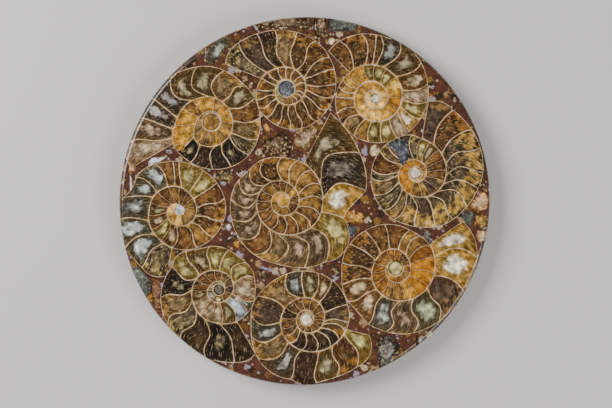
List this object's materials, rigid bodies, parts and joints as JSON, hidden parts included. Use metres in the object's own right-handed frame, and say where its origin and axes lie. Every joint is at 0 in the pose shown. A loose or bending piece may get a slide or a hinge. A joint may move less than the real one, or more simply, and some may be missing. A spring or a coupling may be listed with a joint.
{
  "type": "ammonite fossil plate",
  "caption": "Round polished plate of cut ammonite fossils with amber, brown and grey chambers, set with shell chips in a red-brown matrix.",
  "frame": {"origin": "centre of the flat underside", "axes": "+Z out of the polished face, +Y towards the edge that is uppermost when the plate stands on display"},
  "size_m": [0.2006, 0.1994, 0.014],
  "materials": {
    "matrix_stone": "polished",
    "brown_stone": "polished",
    "honey_stone": "polished",
    "olive_stone": "polished",
    "dark_stone": "polished",
    "teal_stone": "polished",
    "blue_grey_stone": "polished",
    "cream_stone": "polished",
    "rose_stone": "polished",
    "pearl_stone": "polished"
  },
  "bodies": {
    "root": {"matrix": "matrix_stone", "ammonite_centre": "honey_stone", "ammonite_top": "brown_stone", "ammonite_lower_right": "honey_stone", "ammonite_bottom": "dark_stone", "ammonite_left": "honey_stone", "ammonite_lower_left": "olive_stone", "ammonite_upper_left": "olive_stone", "ammonite_top_right": "honey_stone", "ammonite_right": "dark_stone", "blue_grey_stone": "blue_grey_stone", "olive_grey_chip": "olive_stone", "crinoid_chip": "rose_stone", "olive_shell_chip": "olive_stone", "teal_chip": "teal_stone", "cream_chip": "cream_stone", "brown_shell_chip": "brown_stone", "pearl_shell_chip": "pearl_stone", "amber_bead": "honey_stone", "hooked_shell_chip": "cream_stone", "honey_block": "honey_stone", "blue_grey_wedge": "blue_grey_stone", "teal_green_stone": "teal_stone", "peach_shell_chip": "rose_stone", "orange_lump": "honey_stone", "rose_rim_chip": "rose_stone", "white_teal_chip": "pearl_stone", "flecked_grey_chip": "pearl_stone", "brown_rim_chip": "brown_stone", "lilac_rim_chip": "rose_stone", "quartz_wedge": "pearl_stone", "white_splinter": "cream_stone", "tan_rim_chip": "cream_stone", "golden_tooth": "honey_stone", "dark_speckled_chip": "dark_stone", "ochre_lump": "honey_stone", "pearl_bead": "pearl_stone", "lilac_sliver": "pearl_stone", "curved_tan_chip": "rose_stone", "grey_shell_chip": "rose_stone", "teal_rim_slab": "teal_stone", "red_brown_slab": "rose_stone", "ochre_rim_slab": "honey_stone", "rose_grey_chip": "rose_stone"}
  },
  "joints": []
}
